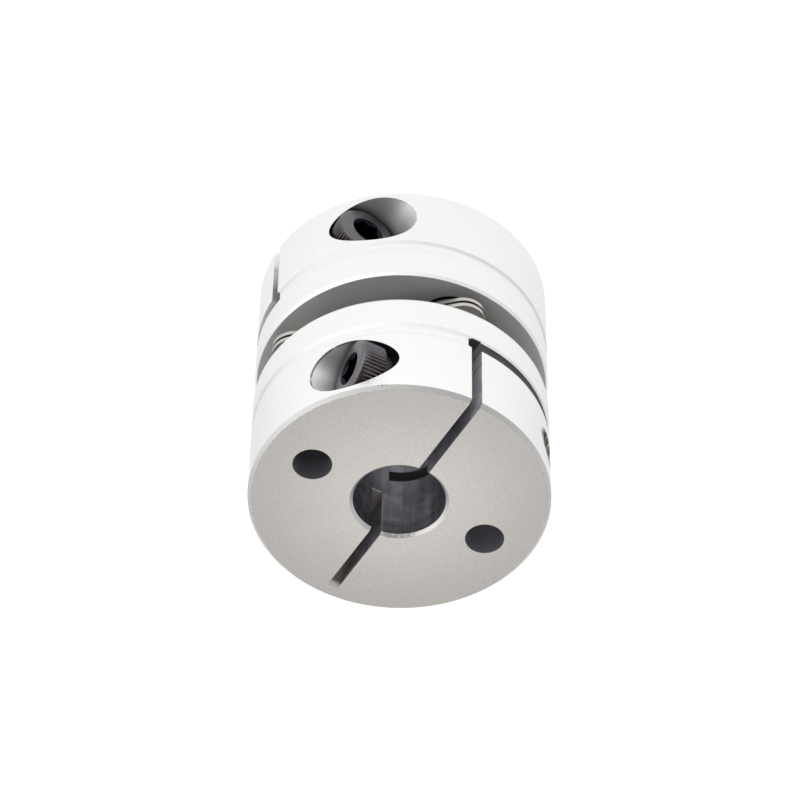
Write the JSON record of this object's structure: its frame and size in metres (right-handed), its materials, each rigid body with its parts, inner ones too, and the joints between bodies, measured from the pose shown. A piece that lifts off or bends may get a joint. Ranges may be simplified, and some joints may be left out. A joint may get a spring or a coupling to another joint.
{
  "type": "disc coupling",
  "caption": "Clamp-type shaft coupling: slit aluminium hubs joined through a pair of thin flexible steel discs on bolts; a socket screw across each hub closes its bore on the shaft.",
  "frame": {"origin": "centre of the lower hub's end face, on the shaft axis, which is also the face it stands on", "axes": "+Z along the shaft axis towards the upper hub; -Y is the open side of the upper hub's slit, +X the open side of the lower hub's slit"},
  "size_m": [0.026, 0.026, 0.0266],
  "materials": {
    "satin_aluminium": "fine blasted, clear anodised, satin",
    "black_oxide_steel": "black oxide, lightly oiled",
    "spring_steel": "cold rolled stainless, semi-bright",
    "stainless_washer": "tumbled, bright edges",
    "stainless_collar": "turned, semi-bright"
  },
  "bodies": {
    "root": {"upper_hub": "satin_aluminium", "lower_hub": "satin_aluminium", "upper_clamp_screw": "black_oxide_steel", "lower_clamp_screw": "black_oxide_steel", "upper_disc": "spring_steel", "lower_disc": "spring_steel", "disc_bolt_front": "black_oxide_steel", "head_washer_front": "stainless_washer", "middle_washer_front": "stainless_washer", "spacer_collar_front": "stainless_collar", "disc_bolt_back": "black_oxide_steel", "head_washer_back": "stainless_washer", "middle_washer_back": "stainless_washer", "spacer_collar_back": "stainless_collar", "disc_bolt_left": "black_oxide_steel", "head_washer_left": "stainless_washer", "middle_washer_left": "stainless_washer", "spacer_collar_left": "stainless_collar", "disc_bolt_right": "black_oxide_steel", "head_washer_right": "stainless_washer", "middle_washer_right": "stainless_washer", "spacer_collar_right": "stainless_collar"}
  },
  "joints": []
}
